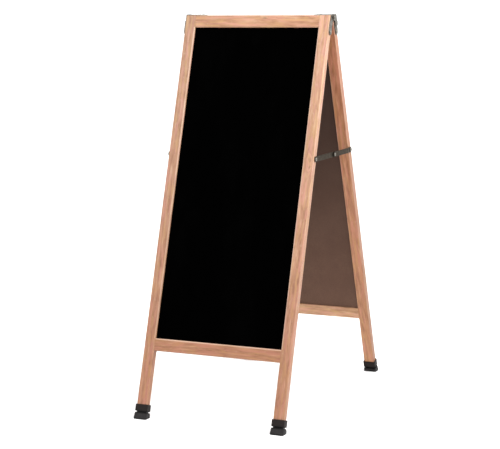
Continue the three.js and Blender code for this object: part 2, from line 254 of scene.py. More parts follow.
# ---- Shader helpers ------------------------------------------------------------------------------
class Shader:
    """A material under construction: every call adds a node and returns its output socket."""

    def __init__(self, name, **surface):
        self.material = bpy.data.materials.new(name)
        self.material.use_nodes = True
        self.tree = self.material.node_tree
        self.surface = self.tree.nodes["Principled BSDF"]
        for socket, value in surface.items():
            self.surface.inputs[socket.replace("_", " ")].default_value = value

    def add(self, kind, inputs=None, output=0, **settings):
        node = self.tree.nodes.new(kind)
        for key, value in settings.items():
            setattr(node, key, value)
        for key, value in (inputs or {}).items():
            if isinstance(value, bpy.types.NodeSocket):
                self.tree.links.new(value, node.inputs[key])
            else:
                node.inputs[key].default_value = value
        return node.outputs[output]

    def place(self, axes=IDENTITY):
        """Where a point is at rest, in the given axes."""
        at_rest = self.add("ShaderNodeTexCoord", output="Object")
        if axes == IDENTITY:
            return at_rest
        inward = axes.inverted()
        turn = {"Vector": at_rest, "Rotation": inward.to_euler(), "Location": inward.translation}
        return self.add("ShaderNodeMapping", turn)

    def math(self, operation, *values):
        return self.add("ShaderNodeMath", dict(enumerate(values)), operation=operation)

    def vector(self, operation, *values, output=0):
        return self.add("ShaderNodeVectorMath", dict(enumerate(values)), output, operation=operation)

    def mix(self, factor, a, b, blend="MIX"):
        return self.add("ShaderNodeMix", {0: factor, 6: a, 7: b}, 2, data_type="RGBA", blend_type=blend)

    def span(self, value, low, high, to_low=0.0, to_high=1.0):
        ends = {0: value, 1: low, 2: high, 3: to_low, 4: to_high}
        return self.add("ShaderNodeMapRange", ends, interpolation_type="SMOOTHSTEP")

    def noise(self, vector, scale, detail=2.0, roughness=0.5, output=0):
        inputs = {"Vector": vector, "Scale": scale, "Detail": detail, "Roughness": roughness}
        return self.add("ShaderNodeTexNoise", inputs, output)

    def ramp(self, factor, stops):
        node = self.tree.nodes.new("ShaderNodeValToRGB")
        elements = node.color_ramp.elements
        while len(elements) < len(stops):
            elements.new(0.5)
        for element, (position, color) in zip(elements, stops):
            element.position = position
            element.color = color
        self.tree.links.new(factor, node.inputs[0])
        return node.outputs[0]

    def bump(self, height, distance, strength):
        return self.add("ShaderNodeBump", {"Height": height, "Distance": distance, "Strength": strength})

    def connect(self, **sockets):
        for name, socket in sockets.items():
            self.tree.links.new(socket, self.surface.inputs[name.replace("_", " ")])


def rgb(red, green, blue):
    return (red, green, blue, 1.0)


# ---- Materials -----------------------------------------------------------------------------------
def oak_material(name, axes, along, low, high, cut, tint_and_shading, outer_side_shade, opening, knots=(), joints=()):
    """Lacquered red oak for a bar from corner low to corner high, its grain along the given axis.

    cut is (turn, away, taper, shift): the pith's direction in degrees from the bar's outer face, its
    distance, how fast the grain runs out along the bar, and where along the log the bar was sawn. tone is
    the bar's tint at the floor and at the hinges: its own tint, with painted shade on the lower parts and a
    painted paler, lit look on the upper ones. flank is the share of the colour left on the side away from the
    board, a painted shade. opening is (axis, side, start, stop, pale): which side of the bar faces the board,
    between which places along it, and the strength of the painted highlight on its quarter round. knots are
    pin knots, as (place, size). joints are the places along the bar where rails meet that side.
    """
    turn, away, taper, shift = cut
    s = Shader(name)
    place = s.place(axes)
    centre = (low + high) / 2
    half = (high - low) / 2
    from_centre = s.vector("SUBTRACT", place, centre)
    axis, side, start, stop, mould_highlight = opening
    lengthwise = s.add("ShaderNodeSeparateXYZ", {0: place}, along)
    outward = s.add("ShaderNodeSeparateXYZ", {0: from_centre}, 1)
    inward = s.math("MULTIPLY", s.add("ShaderNodeSeparateXYZ", {0: from_centre}, axis), side)

    # The log's axes: z along the grain.
    lay = (0, math.pi / 2, 0) if along == 0 else (0, 0, 0)
    pith = (away * math.sin(math.radians(turn)), -away * math.cos(math.radians(turn)), shift)
    log = s.add("ShaderNodeMapping", {"Vector": from_centre, "Rotation": lay, "Location": pith})
    run = s.add("ShaderNodeSeparateXYZ", {0: log}, 2)
    run = s.math("MULTIPLY", s.math("SUBTRACT", run, shift), taper)
    log = s.vector("ADD", log, s.add("ShaderNodeCombineXYZ", {0: s.math("MULTIPLY", run, 0.4), 1: run}))

    wander = s.noise(s.vector("MULTIPLY", log, (9, 9, 2.2)), 1.0, 2.0, output=1)
    wander = s.vector("MULTIPLY", s.vector("SUBTRACT", wander, (0.5, 0.5, 0.5)), (0.016, 0.016, 0))
    grown = s.vector("ADD", log, wander)
    pin_knot = None
    for where, size in knots:
        off = s.vector("SUBTRACT", place, where)
        off = s.vector("MULTIPLY", off, (1, 0.5, 0.45) if along == 2 else (0.45, 0.5, 1))
        off = s.vector("LENGTH", off, output=1)
        swirl = s.span(off, 0, 5 * size, 1, 0)
        grown = s.vector("ADD", grown, s.vector("MULTIPLY", (1.5 * size, 1.5 * size, 0), swirl))
        spot = s.span(off, 0.35 * size, size, 1, 0)
        pin_knot = spot if pin_knot is None else s.math("MAXIMUM", pin_knot, spot)

    radius = s.vector("LENGTH", s.vector("MULTIPLY", grown, (1, 1, 0)), output=1)
    ragged = s.noise(s.vector("MULTIPLY", grown, (420, 420, 16)), 1.0, 3.0, 0.6)
    years = s.math("ADD", s.math("MULTIPLY", radius, 1 / YEAR), s.math("MULTIPLY", ragged, 0.5))
    year = s.math("FRACT", years)
    porous = s.math("MULTIPLY", s.span(year, 0.0, 0.10), s.span(year, 0.30, 0.75, 1, 0))

    streak = s.noise(s.vector("MULTIPLY", grown, (130, 130, 19)), 1.0, 3.0, 0.55)
    blush = s.noise(s.vector("MULTIPLY", grown, (100, 100, 15)), 1.0, 2.0)
    amber = s.noise(s.vector("ADD", s.vector("MULTIPLY", grown, (150, 150, 21)), (3, 5, 7)), 1.0, 2.0)
    fibre = s.noise(s.vector("MULTIPLY", grown, (1900, 1900, 40)), 1.0, 3.0, 0.6)
    pore = s.noise(s.vector("MULTIPLY", grown, (1300, 1300, 55)), 1.0, 1.0)
    pore = s.math("MULTIPLY", s.span(pore, 0.56, 0.68), s.math("ADD", s.math("MULTIPLY", porous, 0.8), 0.2))
    fleck = s.span(s.noise(s.vector("MULTIPLY", grown, (120, 900, 110)), 1.0, 1.0), 0.66, 0.74)

    color = s.ramp(streak, (
        (0.34, rgb(0.250, 0.105, 0.048)),
        (0.44, rgb(0.345, 0.160, 0.078)),
        (0.55, rgb(0.395, 0.195, 0.104)),
        (0.66, rgb(0.480, 0.268, 0.150)),
    ))
    color = s.mix(s.span(blush, 0.46, 0.60, 0, 0.70), color, rgb(0.460, 0.200, 0.130))
    color = s.mix(s.span(amber, 0.50, 0.62, 0, 0.65), color, rgb(0.410, 0.215, 0.082))
    color = s.mix(s.math("MULTIPLY", porous, 0.30), color, rgb(0.250, 0.106, 0.050))
    color = s.mix(s.math("MULTIPLY", pore, 0.50), color, rgb(0.150, 0.062, 0.030))
    color = s.mix(s.math("MULTIPLY", fleck, 0.25), color, rgb(0.470, 0.300, 0.190))
    color = s.mix(s.span(fibre, 0.3, 0.7, 0, 0.12), color, rgb(0.250, 0.125, 0.066))
    if pin_knot is not None:
        color = s.mix(s.math("MULTIPLY", pin_knot, 0.5), color, rgb(0.130, 0.070, 0.034))

    # Painted light and shade by height: the colour is multiplied by a tint that runs from the bar's floor
    # tint to its hinge tint. The lower parts get painted shade, darker and redder, and the upper parts a
    # painted paler, lit look.
    level = s.add("ShaderNodeSeparateXYZ", {0: s.place()}, 2)
    height_shading = s.mix(s.span(level, 0.0, 1.15), rgb(*tint_and_shading[0]), rgb(*tint_and_shading[1]))
    color = s.mix(1.0, color, height_shading, "MULTIPLY")

    # Painted shade: the side away from the board is darkened to flank's share of its colour.
    outer_side_darkening = s.span(inward, 0.8 * MM - half[axis], 2.2 * MM - half[axis], outer_side_shade, 1)
    color = s.add("ShaderNodeVectorMath", {0: color, "Scale": outer_side_darkening}, operation="SCALE")

    # Arrises are worn lighter, and the lacquer on them is duller. The lighter colour is also a painted
    # highlight along the arrises, which grows stronger towards the top.
    rim = s.vector("ABSOLUTE", from_centre)
    limits = [s.add("ShaderNodeSeparateXYZ", {0: rim}, axis) for axis in range(3) if axis != along]
    sides = [half[axis] for axis in range(3) if axis != along]
    near = [s.span(value, side - 3.2 * MM, side - 0.4 * MM) for value, side in zip(limits, sides)]
    worn = s.math("MULTIPLY", *near)
    for near_end, far_end in joints:
        past_near = s.span(lengthwise, near_end - BLEND, near_end)
        before_far = s.span(lengthwise, far_end, far_end + BLEND, 1, 0)
        inside = s.math("MULTIPLY", past_near, before_far)
        inside = s.math("MULTIPLY", inside, s.span(inward, 0, BLEND))
        worn = s.math("MULTIPLY", worn, s.math("SUBTRACT", 1.0, inside))
    patchy = s.noise(s.vector("MULTIPLY", log, (60, 60, 18)), 1.0, 3.0)
    worn = s.math("MULTIPLY", worn, s.span(patchy, 0.3, 0.65, 0.35, 1))
    # Painted highlight and wear: the arrises are made paler, more so higher up.
    wear_and_highlight = s.math("MULTIPLY", worn, s.span(level, 0.0, 1.0, 0.12, 0.5))
    color = s.mix(wear_and_highlight, color, rgb(0.600, 0.420, 0.310))

    # Painted highlight: the quarter round beside the board is painted paler, in patches.
    near_board = s.span(inward, half[axis] - 1.1 * MOULD, half[axis] - 0.9 * MOULD)
    near_front = s.span(outward, half.y - 1.1 * MOULD, half.y - 0.9 * MOULD)
    mould = s.math("MULTIPLY", near_board, near_front)
    past_start = s.span(lengthwise, start - BLEND, start)
    before_stop = s.span(lengthwise, stop, stop + BLEND, 1, 0)
    mould = s.math("MULTIPLY", mould, s.math("MULTIPLY", past_start, before_stop))
    wear_and_highlight = s.math("MULTIPLY", mould, s.span(patchy, 0.3, 0.6, 0.6 * mould_highlight, mould_highlight))
    color = s.mix(wear_and_highlight, color, rgb(0.740, 0.560, 0.440))

    handled = s.noise(place, 9.0, 3.0)
    rough = s.math("ADD", s.span(handled, 0.3, 0.7, 0.36, 0.50), s.math("MULTIPLY", pore, 0.2))
    rough = s.math("ADD", rough, s.math("MULTIPLY", worn, 0.12))

    height = s.math("SUBTRACT", s.math("MULTIPLY", fibre, 0.25), pore)
    height = s.math("SUBTRACT", height, s.math("MULTIPLY", porous, 0.3))
    s.connect(Base_Color=color, Roughness=rough, Normal=s.bump(height, 0.12 * MM, 0.8))
    return s.material


def writing_material():
    s = Shader("writing_black", Specular_IOR_Level=0.004)
    place = s.place()
    grain = s.noise(place, 2600.0, 3.0, 0.6)
    wiped = s.noise(s.vector("MULTIPLY", place, (9, 9, 3)), 1.0, 4.0, 0.6)
    color = s.mix(s.span(wiped, 0.45, 0.75), rgb(0.0001, 0.0001, 0.0001), rgb(0.0004, 0.0004, 0.0004))
    rough = s.span(wiped, 0.3, 0.7, 0.82, 0.95)
    s.connect(Base_Color=color, Roughness=rough, Normal=s.bump(grain, 0.04 * MM, 0.5))
    return s.material


def hardboard_material():
    s = Shader("hardboard", Specular_IOR_Level=0.25)
    place = s.place()
    matted = s.noise(place, 420.0, 4.0, 0.65)
    cloud = s.noise(place, 11.0, 3.0, 0.6)
    hair = s.noise(s.vector("MULTIPLY", place, (2600, 2600, 700)), 1.0, 2.0)
    color = s.ramp(matted, (
        (0.30, rgb(0.072, 0.034, 0.021)),
        (0.52, rgb(0.100, 0.050, 0.031)),
        (0.72, rgb(0.126, 0.066, 0.042)),
    ))
    color = s.mix(s.span(cloud, 0.35, 0.65, 0, 0.35), color, rgb(0.081, 0.042, 0.029))
    color = s.mix(s.span(hair, 0.6, 0.75, 0, 0.30), color, rgb(0.160, 0.092, 0.063))
    # Painted shade: the board darkens towards the top, where it lies in the shade between the two frames.
    level = s.add("ShaderNodeSeparateXYZ", {0: place}, 2)
    color = s.mix(s.span(level, 0.2, 1.1, 0, 0.90), color, rgb(0.033, 0.016, 0.011))
    rough = s.span(cloud, 0.3, 0.7, 0.62, 0.78)
    height = s.math("ADD", matted, s.math("MULTIPLY", hair, 0.4))
    s.connect(Base_Color=color, Roughness=rough, Normal=s.bump(height, 0.10 * MM, 0.6))
    return s.material


def rubber_material(name, axes, top):
    """Black rubber with a painted highlight on the base that fades out near the floor, and a little brown on
    the collar, for cups whose rim is at top.
    """
    s = Shader(name, Specular_IOR_Level=0.10)
    place = s.place()
    up = s.add("ShaderNodeSeparateXYZ", {0: s.place(axes)}, 2)
    waist_top = top - COLLAR_H
    base_top = waist_top - WAIST_H
    pebble = s.noise(place, 1500.0, 2.0)
    cloud = s.noise(place, 60.0, 3.0, 0.6)
    scuff = s.noise(s.vector("MULTIPLY", place, (260, 260, 90)), 1.0, 4.0, 0.7)
    color = s.mix(s.span(cloud, 0.3, 0.7), rgb(0.004, 0.0037, 0.0036), rgb(0.008, 0.0073, 0.0070))
    brown = s.span(up, waist_top, waist_top + 6 * MM, 0, 0.8)
    color = s.mix(brown, color, rgb(0.0150, 0.0110, 0.0100))
    # Painted highlight: the base is lighter in scuffy patches, less so near the floor.
    on_base = s.span(up, base_top - 5 * MM, base_top - 1 * MM, 1, 0)
    base_highlight = s.math("MULTIPLY", on_base, s.span(scuff, 0.3, 0.6, 0.5, 1))
    level = s.add("ShaderNodeSeparateXYZ", {0: place}, 2)
    base_highlight = s.math("MULTIPLY", base_highlight, s.span(level, 1.5 * MM, 5 * MM, 0.15, 1))
    color = s.mix(base_highlight, color, rgb(0.0240, 0.0220, 0.0225))
    color = s.mix(s.span(scuff, 0.6, 0.8, 0, 0.5), color, rgb(0.030, 0.028, 0.027))
    rough = s.math("ADD", s.span(cloud, 0.3, 0.7, 0.42, 0.58), s.span(scuff, 0.6, 0.8, 0, 0.15))
    height = s.math("ADD", pebble, s.math("MULTIPLY", scuff, 0.6))
    s.connect(Base_Color=color, Roughness=rough, Normal=s.bump(height, 0.08 * MM, 0.6))
    return s.material


def steel_material(name, bright, dull, stain, roughness, brushed, edge=(1.0, 1.0, 1.0, 1.0)):
    """Sheet steel: bright metal with dull patches, stains and fine rolling scratches.

    brushed is the scale of the scratches along x, y and z, and edge the tint of glancing reflections.
    """
    s = Shader(name, Metallic=1.0, Specular_Tint=edge)
    place = s.place()
    cloud = s.noise(place, 130.0, 4.0, 0.6)
    spangle = s.noise(place, 620.0, 2.0)
    scratch = s.noise(s.vector("MULTIPLY", place, brushed), 1.0, 3.0, 0.7)
    color = s.mix(s.span(cloud, 0.35, 0.65), bright, dull)
    color = s.mix(s.span(spangle, 0.4, 0.7, 0, 0.25), color, bright)
    spots = s.noise(place, 330.0, 3.0, 0.7)
    spots = s.span(spots, 0.62, 0.75, 0, 0.6)
    color = s.mix(spots, color, stain)
    rough = s.span(cloud, 0.3, 0.7, roughness - 0.06, roughness + 0.08)
    rough = s.math("ADD", rough, s.math("MULTIPLY", spots, 0.25))
    rough = s.math("ADD", rough, s.span(scratch, 0.4, 0.7, -0.04, 0.06))
    height = s.math("ADD", s.math("MULTIPLY", scratch, 0.6), s.math("MULTIPLY", spangle, 0.3))
    s.connect(Base_Color=color, Roughness=rough, Normal=s.bump(height, 0.03 * MM, 0.6))
    return s.material


# ---- Wood pieces ---------------------------------------------------------------------------------
def bar_mesh(low, high, along, seed, joints=(), joint_side=0):
    """A planed bar: its arrises' rounding varies a little along it, by its seed, and its ends are eased.

    Between the two ends of a joint the corners on the joint side stay sharp.
    """
    across = [axis for axis in range(3) if axis != along]
    first, last = low[along], high[along]
    ease = TOP_EASE if joints else END_EASE
    ends = (first + ease, last - ease)
    places = set(ends)
    count = round((last - first) / STATION_GAP)
    places.update(first + (last - first) * i / count for i in range(1, count))
    for near, far in joints:
        places = {p for p in places if p in ends or not near - 4 * MM < p < far + 4 * MM}
        around = (near - 3 * MM, near, (near + far) / 2, far, far + 3 * MM)
        places.update(p for p in around if ends[0] < p < ends[1])
    stations = [(first, ease), (first + 0.3 * ease, 0.3 * ease)]
    stations += [(p, 0) for p in sorted(places)]
    stations += [(last - 0.3 * ease, 0.3 * ease), (last, ease)]
    loops = []
    for place, inset in stations:
        radius = ARRIS * (1 + 0.28 * noise.noise(Vector((3.1 * seed, 30 * place, 0.5))))
        jointed = any(near <= place <= far for near, far in joints)
        inner = SHARP if jointed else radius
        right = inner if joint_side > 0 else radius
        left = inner if joint_side < 0 else radius
        near = [low[axis] + inset for axis in across]
        far = [high[axis] - inset for axis in across]
        loop = []
        for point in rounded_rect(near, far, (right, left, left, right), 6):
            spot = Vector((place, place, place))
            spot[across[0]], spot[across[1]] = point
            loop.append(spot)
        loops.append(loop)
    return loft(loops)


def mould_cutter(opening_low, opening_high, face):
    """A plug for the opening whose sides flare in a quarter round up to the outer face."""
    steps = 7
    rims = [(-0.5 * MM, face - MOULD - 0.5 * MM)]
    for i in range(steps + 1):
        angle = math.radians(6 + 78 * i / steps)
        rims.append((MOULD * (1 - math.cos(angle)), face - MOULD * (1 - math.sin(angle))))
    rims += [(MOULD, face + 0.05 * MM), (MOULD, face + 1 * MM)]
    loops = []
    for grow, depth in rims:
        x0, x1 = opening_low[0] - grow, opening_high[0] + grow
        z0, z1 = opening_low[1] - grow, opening_high[1] + grow
        loops.append([Vector((x, depth, z)) for x, z in ((x0, z0), (x1, z0), (x1, z1), (x0, z1))])
    return loft(loops)


def build_frame(face, axes):
    """The oak frame and its two boards, in one frame's axes."""
    body = face + "_frame"
    boxes = {part: local_box(f"{face}_{part}", axes) for part in (
        "left_stile", "right_stile", "top_rail", "bottom_rail", "backing_board", "writing_sheet")}
    sides = [boxes["left_stile"], boxes["right_stile"]]
    inner_x = min(min(abs(low.x), abs(high.x)) for low, high in sides)
    inner_face, outer_face = sides[0][0].y, sides[0][1].y
    middle = (inner_face + outer_face) / 2
    opening_low = (-inner_x, boxes["bottom_rail"][1].z)
    opening_high = (inner_x, boxes["top_rail"][0].z)
    tenon_tip = boxes["top_rail"][1].x
    panel_low, panel_high = boxes["backing_board"][0], boxes["writing_sheet"][1]
    margin = Vector((FIT, FIT, FIT))
    joints = [(boxes[part][0].z, boxes[part][1].z) for part in ("bottom_rail", "top_rail")]

    def tenon_room(part, end, spare):
        low, high = boxes[part]
        near = low.z + TENON_INSET if part == "bottom_rail" else high.z - TENON_INSET - TENON_H
        x = sorted((end * (inner_x - 2 * MM), end * (tenon_tip + spare)))
        corner = Vector((x[0], middle - TENON_T / 2 - spare, near - spare))
        return box_mesh(corner, Vector((x[1], middle + TENON_T / 2 + spare, near + TENON_H + spare)))

    def cut_common(piece):
        groove = make_object("groove", box_mesh(panel_low - margin, panel_high + margin), axes)
        combine(piece, groove, "DIFFERENCE")
        mould = make_object("mould", mould_cutter(opening_low, opening_high, outer_face), axes)
        combine(piece, mould, "DIFFERENCE")

    for hand in ("left", "right"):
        low, high = boxes[hand + "_stile"]
        name = f"{face}_{hand}_stile"
        seed, cut, tint_and_shading, outer_side_shade, mould_highlight = OAK_BARS[name]
        end = 1 if low.x > 0 else -1
        bar = bar_mesh(low, high, 2, seed, joints, -end)
        piece = make_object(name + "_wood", bar, axes)
        cut_common(piece)
        for part in ("top_rail", "bottom_rail"):
            combine(piece, make_object("mortise", tenon_room(part, end, FIT), axes), "DIFFERENCE")
        knots = PIN_KNOTS.get(name, ())
        opening = (0, -end, joints[0][1], joints[1][0], mould_highlight)
        oak = oak_material(name, axes, 2, low, high, cut, tint_and_shading, outer_side_shade, opening, knots, joints)
        finish_piece(piece, body, oak, "oak", name)

    for part in ("top_rail", "bottom_rail"):
        low, high = boxes[part]
        name = f"{face}_{part}"
        seed, cut, tint_and_shading, outer_side_shade, mould_highlight = OAK_BARS[name]
        low, high = Vector((SEAM - inner_x, low.y, low.z)), Vector((inner_x - SEAM, high.y, high.z))
        piece = make_object(name + "_wood", bar_mesh(low, high, 0, seed), axes)
        cut_common(piece)
        for end in (-1, 1):
            combine(piece, make_object("tenon", tenon_room(part, end, 0), axes), "UNION")
        knots = PIN_KNOTS.get(name, ())
        opening = (2, 1 if part == "bottom_rail" else -1, low.x, high.x, mould_highlight)
        oak = oak_material(name, axes, 0, low, high, cut, tint_and_shading, outer_side_shade, opening, knots)
        finish_piece(piece, body, oak, "oak", name)

    for part, material, slot in (
        ("backing_board", HARDBOARD, "hardboard"),
        ("writing_sheet", WRITING, "writing_black"),
    ):
        name = f"{face}_{part}"
        piece = make_object(name + "_panel", panel_mesh(*boxes[part], len(name)), axes)
        finish_piece(piece, body, material, slot, name)


def panel_mesh(low, high, seed):
    """A board with eased edges, not quite flat between the grooves that hold it."""
    bm = box_mesh(low, high)
    bmesh.ops.bevel(bm, geom=bm.edges[:], offset=0.5 * MM, segments=2, affect="EDGES")
    for axis, count in ((0, 18), (2, 40)):
        for i in range(1, count):
            spot = low.lerp(high, i / count)
            normal = Vector((1, 0, 0)) if axis == 0 else Vector((0, 0, 1))
            geometry = bm.verts[:] + bm.edges[:] + bm.faces[:]
            bmesh.ops.bisect_plane(bm, geom=geometry, plane_co=spot, plane_no=normal)
    middle, half = (low + high) / 2, (high - low) / 2
    for vert in bm.verts:
        a, b = (vert.co.x - middle.x) / half.x, (vert.co.z - middle.z) / half.z
        free = max(0.0, 1 - a * a) * max(0.0, 1 - b * b)
        wave = noise.noise(Vector((3 * vert.co.x, seed, 3 * vert.co.z)))
        vert.co.y += 0.12 * MM * free * wave
    return bm


# ---- Rubber feet ---------------------------------------------------------------------------------
FOOT_STEPS = 8


def foot_profile(top, pocket_floor, bottom):
    """Points (wall outside the stile, height) up the pocket's side, over the rim and down the outside."""
    lip = 1.2 * MM
    profile = [(FIT, pocket_floor), (FIT, top - lip)]
    profile += arc((FIT + lip, top - lip), lip, 180, 90, 4)[1:]
    edge = 1.5 * MM
    profile += arc((COLLAR_WALL - edge, top - edge), edge, 75, 0, 5)
    collar_end = top - COLLAR_H
    profile += arc((COLLAR_WALL - edge, collar_end + edge), edge, 0, -80, 5)
    profile += [(WAIST_WALL, collar_end - 0.5 * MM), (WAIST_WALL, collar_end - WAIST_H + 0.5 * MM)]
    base_top = collar_end - WAIST_H
    shoulder = BASE_WALL - FLARE
    profile += arc((shoulder - edge, base_top - edge), edge, 95, 15, 5)
    band = base_top - 5 * MM
    profile += [(shoulder + 0.3 * FLARE, band + 0.5 * MM), (shoulder + 0.6 * FLARE, band)]
    profile += [(shoulder + 0.7 * FLARE, band - 2 * MM), (shoulder + 0.5 * FLARE, band - 2.5 * MM)]
    profile += [(BASE_WALL, band - 6 * MM), (BASE_WALL, bottom)]
    return profile


def foot_piece(name, stile, axes):
    """A two-tier cup pushed onto the stile's end, its sole cut level with the floor."""
    low, high = local_box(name, axes)
    stile_low, stile_high = local_box(stile, axes)
    bottom = low.z - 10 * MM  # below the floor, where the sole is cut
    loops = []
    for wall, height in foot_profile(high.z, stile_low.z - FIT, bottom):
        near = (stile_low.x - wall, stile_low.y - wall)
        far = (stile_high.x + wall, stile_high.y + wall)
        outline = rounded_rect(near, far, 4 * [ARRIS + 0.6 * wall], FOOT_STEPS)
        loops.append([Vector((x, y, height)) for x, y in outline])
    bm = loft(loops)
    to_local = axes.inverted()
    floor_point = to_local @ Vector((0, 0, 0))
    floor_normal = to_local.to_3x3() @ Vector((0, 0, 1))
    geometry = bm.verts[:] + bm.edges[:] + bm.faces[:]
    cut = bmesh.ops.bisect_plane(
        bm, geom=geometry, plane_co=floor_point, plane_no=floor_normal, clear_inner=True)
    rim = [e for e in cut["geom_cut"] if isinstance(e, bmesh.types.BMEdge)]
    bmesh.ops.contextual_create(bm, geom=rim)
    bmesh.ops.bevel(bm, geom=rim, offset=1.1 * MM, segments=4, affect="EDGES", clamp_overlap=True)
    return make_object(name + "_cup", bm, axes)


# ---- Hinges --------------------------------------------------------------------------------------
def mirrored(end, near, far):
    """A distance range out from the frame's side face, as an x range on that side."""
    return sorted((end * (half_width + near), end * (half_width + far)))


def leaf_outline(middle, end_z):
    """A hinge leaf from the side: round the pin, level across the top, down to a round tip."""
    top_angle = 90 - math.degrees(LEAN)
    throat = 240  # where the ear's round ends, in degrees
    half = ARM_W / 2
    corner_n = SHOULDER_N - SHOULDER_R
    corner_z = (EAR_R - SHOULDER_R - corner_n * math.sin(LEAN)) / math.cos(LEAN)
    points = arc((0, 0), EAR_R, top_angle, throat, 30)
    run = middle - half - points[-1][0]
    points.append((middle - half, points[-1][1] - run / math.tan(math.radians(throat))))
    points += arc((middle, end_z + half), half, 180, 360, 26)
    points += [(middle + half, -SHOULDER_Z - STEP_H), (SHOULDER_N, -SHOULDER_Z)]
    return points + arc((corner_n, corner_z), SHOULDER_R, 0, top_angle, 6)


def hinge_leaf(name, stile, axes, outer_ear):
    """Arm on the stile's side, flange on the top rail and ear round the pin, pressed from one plate."""
    low, high = local_box(name, axes)
    stile_low, stile_high = local_box(stile, axes)
    middle = (stile_low.y + stile_high.y) / 2
    end = 1 if high.x > half_width else -1
    top = LEAF_GAP + LEAF_T
    inner = mirrored(end, LEAF_GAP, top)

    def pressed(part, outline, reach):
        return make_object(part, ease_edges(plate_mesh(outline, *reach), LEAF_EASE), axes)

    leaf = pressed(name + "_plate", leaf_outline(middle, low.z), inner)
    tip = min((low.x, high.x), key=abs)
    flange_x = sorted((tip, end * (half_width + LEAF_GAP + LEAF_T / 2)))
    near = middle - ARM_W / 2
    plan = rounded_rect((flange_x[0], near), (flange_x[1], near + FLANGE_W), 4 * [1.5 * MM], 5)
    flange = loft([[Vector((x, y, z)) for x, y in plan] for z in (LEAF_GAP, top)])
    combine(leaf, make_object("flange", ease_edges(flange, LEAF_EASE), axes), "UNION")
    if outer_ear:
        # The plate is cut away behind the outer ear, to make room for the other leaf.
        behind = mirrored(end, -1 * MM, top + LEAF_GAP / 2)
        relief = plate_mesh(arc((0, 0), EAR_R + 2 * LEAF_GAP, 0, 350, 35), *behind)
        combine(leaf, make_object("relief", relief, axes), "DIFFERENCE")
        beside = box_mesh((behind[0], -2 * EAR_R, -2 * EAR_R), (behind[1], near, 2 * EAR_R))
        combine(leaf, make_object("beside", beside, axes), "DIFFERENCE")
        outer = mirrored(end, top + LEAF_GAP, top + LEAF_GAP + LEAF_T)
        combine(leaf, pressed("ear", leaf_outline(middle, -EAR_END), outer), "UNION")
        bridge = mirrored(end, LEAF_GAP + LEAF_T / 2, top + LEAF_GAP + LEAF_T / 2)
        boss = plate_mesh(arc((middle, -BOSS_Z), BOSS_R, 0, 350, 35), *bridge)
        combine(leaf, make_object("boss", boss, axes), "UNION")
    drill(leaf, ("left" if end < 0 else "right") + "_hinge_pin", axes, 0, PIN_HOLE)
    drill(leaf, name.replace("leaf", "side_screw"), axes, 0, SCREW_HOLE)
    drill(leaf, name.replace("leaf", "top_screw"), axes, 2, SCREW_HOLE)
    return leaf


def screw_mesh(head_r, head_h, shank_r, shank_l, recessed):
    """A pan-head screw or a domed rivet, its head's seat at z = 0."""
    edge = 0.30 * head_h
    profile = [(0.15 * shank_r, -shank_l), (shank_r, -shank_l + 2 * shank_r), (shank_r, -0.3 * MM)]
    profile += [(shank_r + 0.2 * MM, 0), (head_r - 0.2 * MM, 0), (head_r, 0.2 * MM), (head_r, edge)]
    for i in range(1, 9):
        angle = math.radians(10 * i)
        profile.append((head_r * math.cos(angle) ** 0.8, edge + (head_h - edge) * math.sin(angle)))
    profile.append((0.05 * head_r, head_h))
    piece = make_object("fastener", turned_mesh(profile))
    if recessed:
        loops = []
        # Heights from the head's top, and the cross's reach and half width as shares of the head's radius.
        for height, reach, half in ((0.5 * MM, 0.60, 0.11), (-0.9 * MM, 0.46, 0.10), (-1.5 * MM, 0.16, 0.08)):
            a, b = reach * head_r, half * head_r
            arm = [(a, -b), (a, b), (b, b)]
            cross = []
            for _ in range(4):
                cross += arm
                arm = [(-y, x) for x, y in arm]
            loops.append([Vector((x, y, head_h + height)) for x, y in cross])
        combine(piece, make_object("recess", loft(loops)), "DIFFERENCE")
    mesh = piece.data
    bpy.data.objects.remove(piece)
    return mesh


def fastener(node, axes, outward, mesh, body, material, slot, turn):
    """A screw or rivet in the place of a CAD node, its head towards outward, turned about its axis."""
    low, high = local_box(node, axes)
    centre = (low + high) / 2
    axis = Vector(outward)
    seat = centre.copy()
    along = max(range(3), key=lambda i: abs(axis[i]))
    head_end = high[along] if axis[along] > 0 else low[along]
    head_h = max(v.co.z for v in mesh.vertices)
    seat[along] = head_end - axis[along] * head_h
    piece = bpy.data.objects.new(node + "_" + slot.split("_")[0], mesh.copy())
    bpy.context.scene.collection.objects.link(piece)
    spin = Matrix.Rotation(math.radians(turn), 4, "Z")
    aim = axis.to_track_quat("Z", "Y").to_matrix().to_4x4()
    piece.data.transform(axes @ Matrix.Translation(seat) @ aim @ spin)
    finish_piece(piece, body, material, slot, node)


# ---- Stays ---------------------------------------------------------------------------------------
def link_outline(screw_y, height, radius):
    """A level bar with round ends, from the middle rivet to the screw."""
    near, far = sorted((0, screw_y))
    return arc((far, height), radius, -90, 90, 16) + arc((near, height), radius, 90, 270, 16)


